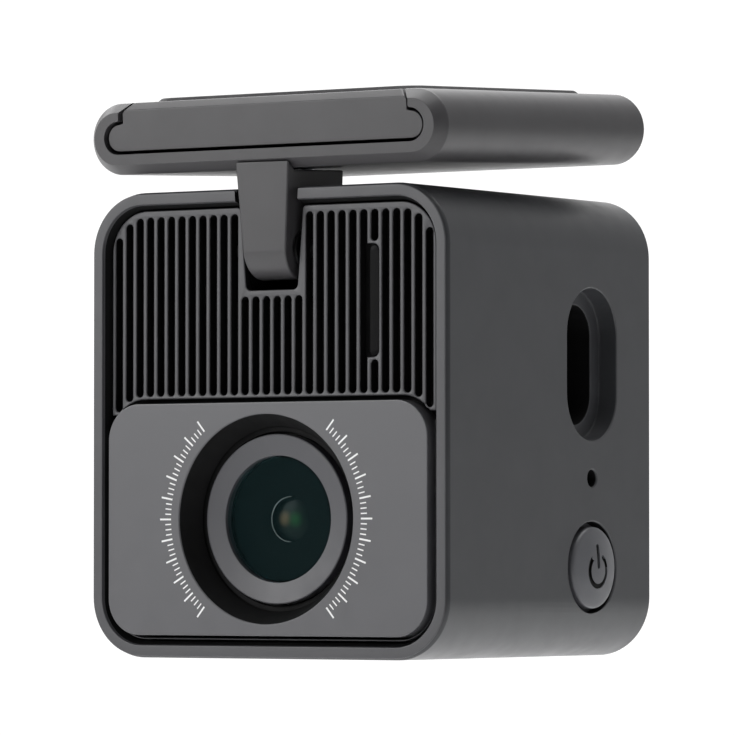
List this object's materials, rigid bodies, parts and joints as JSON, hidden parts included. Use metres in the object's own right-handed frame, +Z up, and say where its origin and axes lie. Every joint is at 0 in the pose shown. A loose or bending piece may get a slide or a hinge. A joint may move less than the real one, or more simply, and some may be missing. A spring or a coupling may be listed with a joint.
{
  "type": "dash camera",
  "caption": "Compact windscreen dash camera with a round front lens, slotted grille, side power button and a slide-on mount that tilts.",
  "frame": {"origin": "middle of the adhesive pad's top face, where the mount meets the windscreen", "axes": "+Z up, -Y the way the lens looks, +X towards the side with the socket and power button"},
  "size_m": [0.052, 0.0476, 0.0695],
  "materials": {
    "shell_plastic": "satin dark grey moulding",
    "bracket_plastic": "satin dark grey moulding",
    "panel_plastic": "smooth grey panel",
    "black_plastic": "matt black",
    "smoked_plastic": "smoked clear",
    "ring_plastic": "satin grey ring",
    "lens_glass": "coated optical glass",
    "rubber": "matt",
    "adhesive": "dark foam tape",
    "steel": "plated",
    "heat_sink": "plain cast",
    "circuit_board": "green solder mask",
    "chip": "matt black package",
    "copper_flex": "amber film on copper",
    "lamp": "clear lamp body"
  },
  "bodies": {
    "base": {"adhesive_pad": "adhesive", "base_plate": "bracket_plastic"},
    "bracket": {"bracket_channel": "bracket_plastic", "bracket_arm": "bracket_plastic", "arm_screw_1": "steel", "arm_screw_2": "steel"},
    "camera": {"housing": "shell_plastic", "front_frame": "shell_plastic", "grille": "shell_plastic", "dust_screen": "black_plastic", "status_light_pipe": "smoked_plastic", "lens_panel": "panel_plastic", "lens_ring": "ring_plastic", "front_glass": "lens_glass", "lens_barrel": "black_plastic", "inner_lens": "lens_glass", "lens_spacer": "black_plastic", "rear_lens": "lens_glass", "lens_seal": "rubber", "lens_holder": "black_plastic", "ir_filter": "lens_glass", "image_sensor": "chip", "sensor_board": "circuit_board", "sensor_flex": "copper_flex", "main_board": "circuit_board", "processor": "chip", "heat_sink": "heat_sink", "plug_socket": "steel", "card_socket": "steel", "microphone": "steel", "microphone_boot": "rubber", "power_switch": "steel", "status_lamp": "lamp", "lamp_board": "circuit_board", "wifi_antenna": "copper_flex", "supercapacitor_1": "chip", "supercapacitor_2": "chip", "speaker": "black_plastic", "rear_cover": "shell_plastic", "rear_screw_1": "steel", "rear_screw_2": "steel", "rear_screw_3": "steel", "rear_screw_4": "steel", "board_screw_1": "steel", "board_screw_2": "steel", "sensor_screw_1": "steel", "sensor_screw_2": "steel", "hinge_pin": "steel", "friction_washer_left": "steel", "friction_washer_right": "steel"},
    "button": {"power_button": "shell_plastic"},
    "card": {"memory_card": "chip"}
  },
  "joints": [
    {"name": "bracket_slide", "type": "slide", "parent": "base", "child": "bracket", "axis": [0, 0.9988, 0.0489], "range_m": [0, 0.045]},
    {"name": "camera_tilt", "type": "hinge", "parent": "bracket", "child": "camera", "pos_m": [0, -0.01925, -0.01982], "axis": [-1, 0, 0], "range_deg": [-4, 75]},
    {"name": "power_button_press", "type": "slide", "parent": "camera", "child": "button", "axis": [-1, 0, 0], "range_m": [0, 0.00045], "stiffness_N_per_m": 1000, "springref_m": -0.0004},
    {"name": "memory_card_slide", "type": "slide", "parent": "camera", "child": "card", "axis": [-1, 0, 0], "range_m": [-0.0006, 0.016]}
  ]
}
